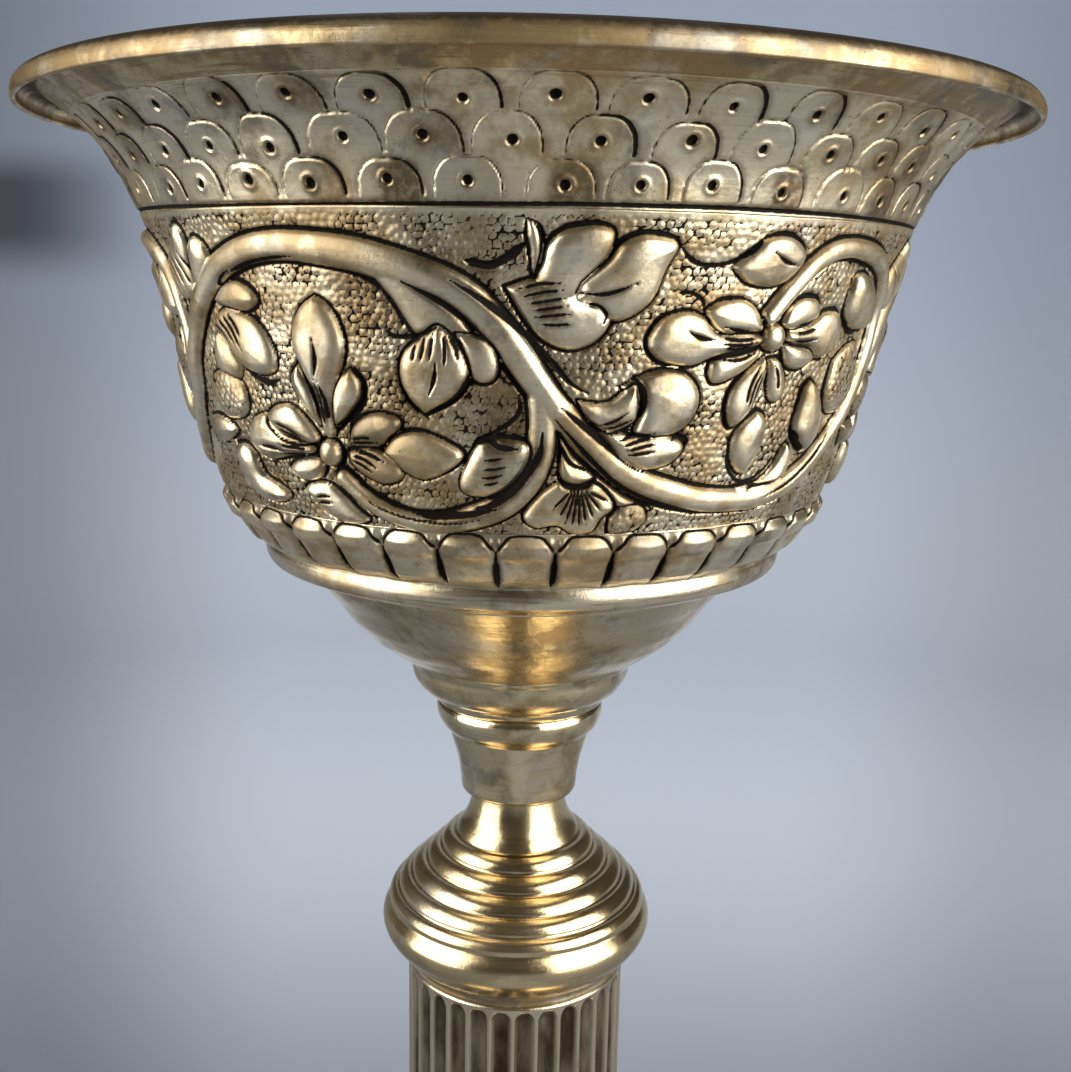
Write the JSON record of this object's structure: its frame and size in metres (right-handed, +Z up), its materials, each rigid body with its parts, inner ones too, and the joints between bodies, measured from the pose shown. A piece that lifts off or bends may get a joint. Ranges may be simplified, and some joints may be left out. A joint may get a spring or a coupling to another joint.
{
  "type": "ciborium vessel",
  "caption": "Standing vessel with a chased, flared bowl that screws onto a knopped, fluted column and a round foot.",
  "frame": {"origin": "centre of the felt face that the vessel stands on", "axes": "+Z up along the stem's axis, which is the axis of turning; -Y faces the viewer"},
  "size_m": [0.1802, 0.1802, 0.3406],
  "materials": {
    "chased_plate": "worn silver plate over brass, chased and punched, black oxide in the lines",
    "plain_plate": "spun and silver plated, worn, light brown tarnish",
    "turned_brass": "turned and polished, plate worn through to yellow brass",
    "collar_plate": "turned, satin, light tarnish",
    "column_plate": "fluted, bright edges and dark brown tarnish in the flutes",
    "foot_plate": "spun and silver plated, worn, light brown tarnish",
    "hidden_brass": "plain machined brass",
    "steel": "zinc plated steel",
    "iron": "rough casting, oiled",
    "fibre": "pressed red fibre",
    "felt": "green baize felt"
  },
  "bodies": {
    "stem": {"foot_shell": "foot_plate", "base_cover": "steel", "felt_pad": "felt", "ballast": "iron", "lower_washer": "steel", "lock_washer": "steel", "lower_nut": "hidden_brass", "tie_rod": "steel", "foot_knop": "turned_brass", "bottom_collar": "collar_plate", "column": "column_plate", "top_collar": "collar_plate", "knop": "turned_brass", "stem_washer": "steel", "stem_nut": "hidden_brass"},
    "seat_washer": {"seat_washer": "fibre"},
    "bowl": {"bowl_shell": "chased_plate", "calyx": "plain_plate", "neck_ferrule": "plain_plate", "threaded_boss": "hidden_brass"}
  },
  "joints": [
    {"name": "bowl_lift", "type": "slide", "parent": "stem", "child": "seat_washer", "axis": [0, 0, 1], "range_m": [0, 0.0075]},
    {"name": "bowl_turn", "type": "hinge", "parent": "seat_washer", "child": "bowl", "pos_m": [0, 0, 0], "axis": [0, 0, 1], "range_deg": [0, 2160]}
  ],
  "couplings": [
    {"joint": "bowl_lift", "follows": "bowl_turn", "m_per_rad": 0.00019894}
  ]
}
